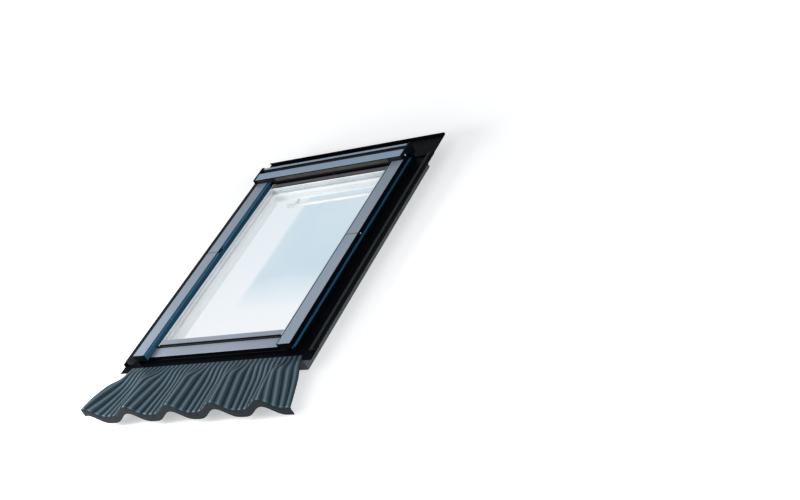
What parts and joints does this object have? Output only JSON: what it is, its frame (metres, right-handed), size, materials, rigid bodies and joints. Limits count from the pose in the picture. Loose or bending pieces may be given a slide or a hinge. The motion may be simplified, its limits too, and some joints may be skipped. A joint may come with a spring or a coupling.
{
  "type": "roof window",
  "caption": "Centre-pivot roof window with a timber frame and sash, sealed glazing, metal cladding, a ventilation flap, and tile flashing with a pleated apron.",
  "frame": {"origin": "middle of the window frame, on the plane of the roof deck that the mounting brackets' undersides stand on", "axes": "+Z out of the roof, square to the roof plane; +Y up the slope, from the apron to the hood; +X to the right, seen from outside"},
  "size_m": [1.01, 1.605, 0.153],
  "materials": {
    "white_timber": "satin",
    "cover_metal": "satin",
    "dark_metal": "satin",
    "ledge_metal": "satin",
    "fascia_plastic": "matte",
    "apron_metal": "satin",
    "glass_clear": "gloss",
    "spacer_metal": "satin",
    "edge_seal": "matte",
    "seal_rubber": "matte",
    "zinc_steel": "satin",
    "white_plastic": "satin",
    "filter_cloth": "matte",
    "grey_foam": "matte",
    "cap_metal": "satin"
  },
  "bodies": {
    "frame": {"bolt_bushes": "zinc_steel", "bracket_screws": "zinc_steel", "collar_bottom": "grey_foam", "collar_left": "grey_foam", "collar_right": "grey_foam", "collar_top": "grey_foam", "flashing_apron": "apron_metal", "flashing_head": "dark_metal", "flashing_side_left": "dark_metal", "flashing_side_right": "dark_metal", "flashing_sill": "dark_metal", "frame_bottom_rail": "white_timber", "frame_cover_left": "dark_metal", "frame_cover_right": "dark_metal", "frame_seals": "seal_rubber", "frame_stile_left": "white_timber", "frame_stile_right": "white_timber", "frame_top_rail": "white_timber", "gutter_foam": "grey_foam", "hood": "cover_metal", "hood_cap_left": "cap_metal", "hood_cap_right": "cap_metal", "hood_fascia": "fascia_plastic", "hood_supports": "zinc_steel", "keeper": "zinc_steel", "mounting_brackets": "zinc_steel", "pivot_bracket_left": "zinc_steel", "pivot_bracket_right": "zinc_steel", "upper_cover_left": "cover_metal", "upper_cover_right": "cover_metal"},
    "sash": {"air_filter": "filter_cloth", "bolt_housing": "white_plastic", "bottom_bead": "cover_metal", "bottom_bead_seal": "seal_rubber", "bottom_cover": "cover_metal", "flap_hinges": "zinc_steel", "inner_gasket": "seal_rubber", "inner_pane": "glass_clear", "latch_case": "white_plastic", "lower_cover_left": "cover_metal", "lower_cover_right": "cover_metal", "outer_gasket": "seal_rubber", "outer_pane": "glass_clear", "pane_edge_seal": "edge_seal", "pane_spacer": "spacer_metal", "pivot_arm_left": "ledge_metal", "pivot_arm_right": "ledge_metal", "sash_bottom_rail": "white_timber", "sash_stile_left": "white_timber", "sash_stile_right": "white_timber", "sash_top_rail": "white_timber", "side_bead_left": "ledge_metal", "side_bead_right": "ledge_metal", "top_bead": "fascia_plastic"},
    "flap": {"bar_arms": "white_plastic", "control_bar": "white_plastic", "flap_seal": "seal_rubber", "vent_flap": "white_timber"},
    "latch": {"latch_bolt": "zinc_steel"},
    "bolt": {"barrel_bolt": "zinc_steel"}
  },
  "joints": [
    {"name": "sash_pivot", "type": "hinge", "parent": "frame", "child": "sash", "pos_m": [0, 0.056, 0.062], "axis": [-1, 0, 0], "range_deg": [0, 157]},
    {"name": "flap_hinge", "type": "hinge", "parent": "sash", "child": "flap", "pos_m": [0, 0.5265, -0.013], "axis": [1, 0, 0], "range_deg": [0, 25]},
    {"name": "latch_slide", "type": "slide", "parent": "sash", "child": "latch", "axis": [0, -1, 0], "range_m": [0, 0.0091]},
    {"name": "barrel_bolt_slide", "type": "slide", "parent": "sash", "child": "bolt", "axis": [1, 0, 0], "range_m": [0, 0.016]}
  ],
  "couplings": [
    {"joint": "latch_slide", "follows": "flap_hinge", "m_per_rad": 0.0206}
  ]
}
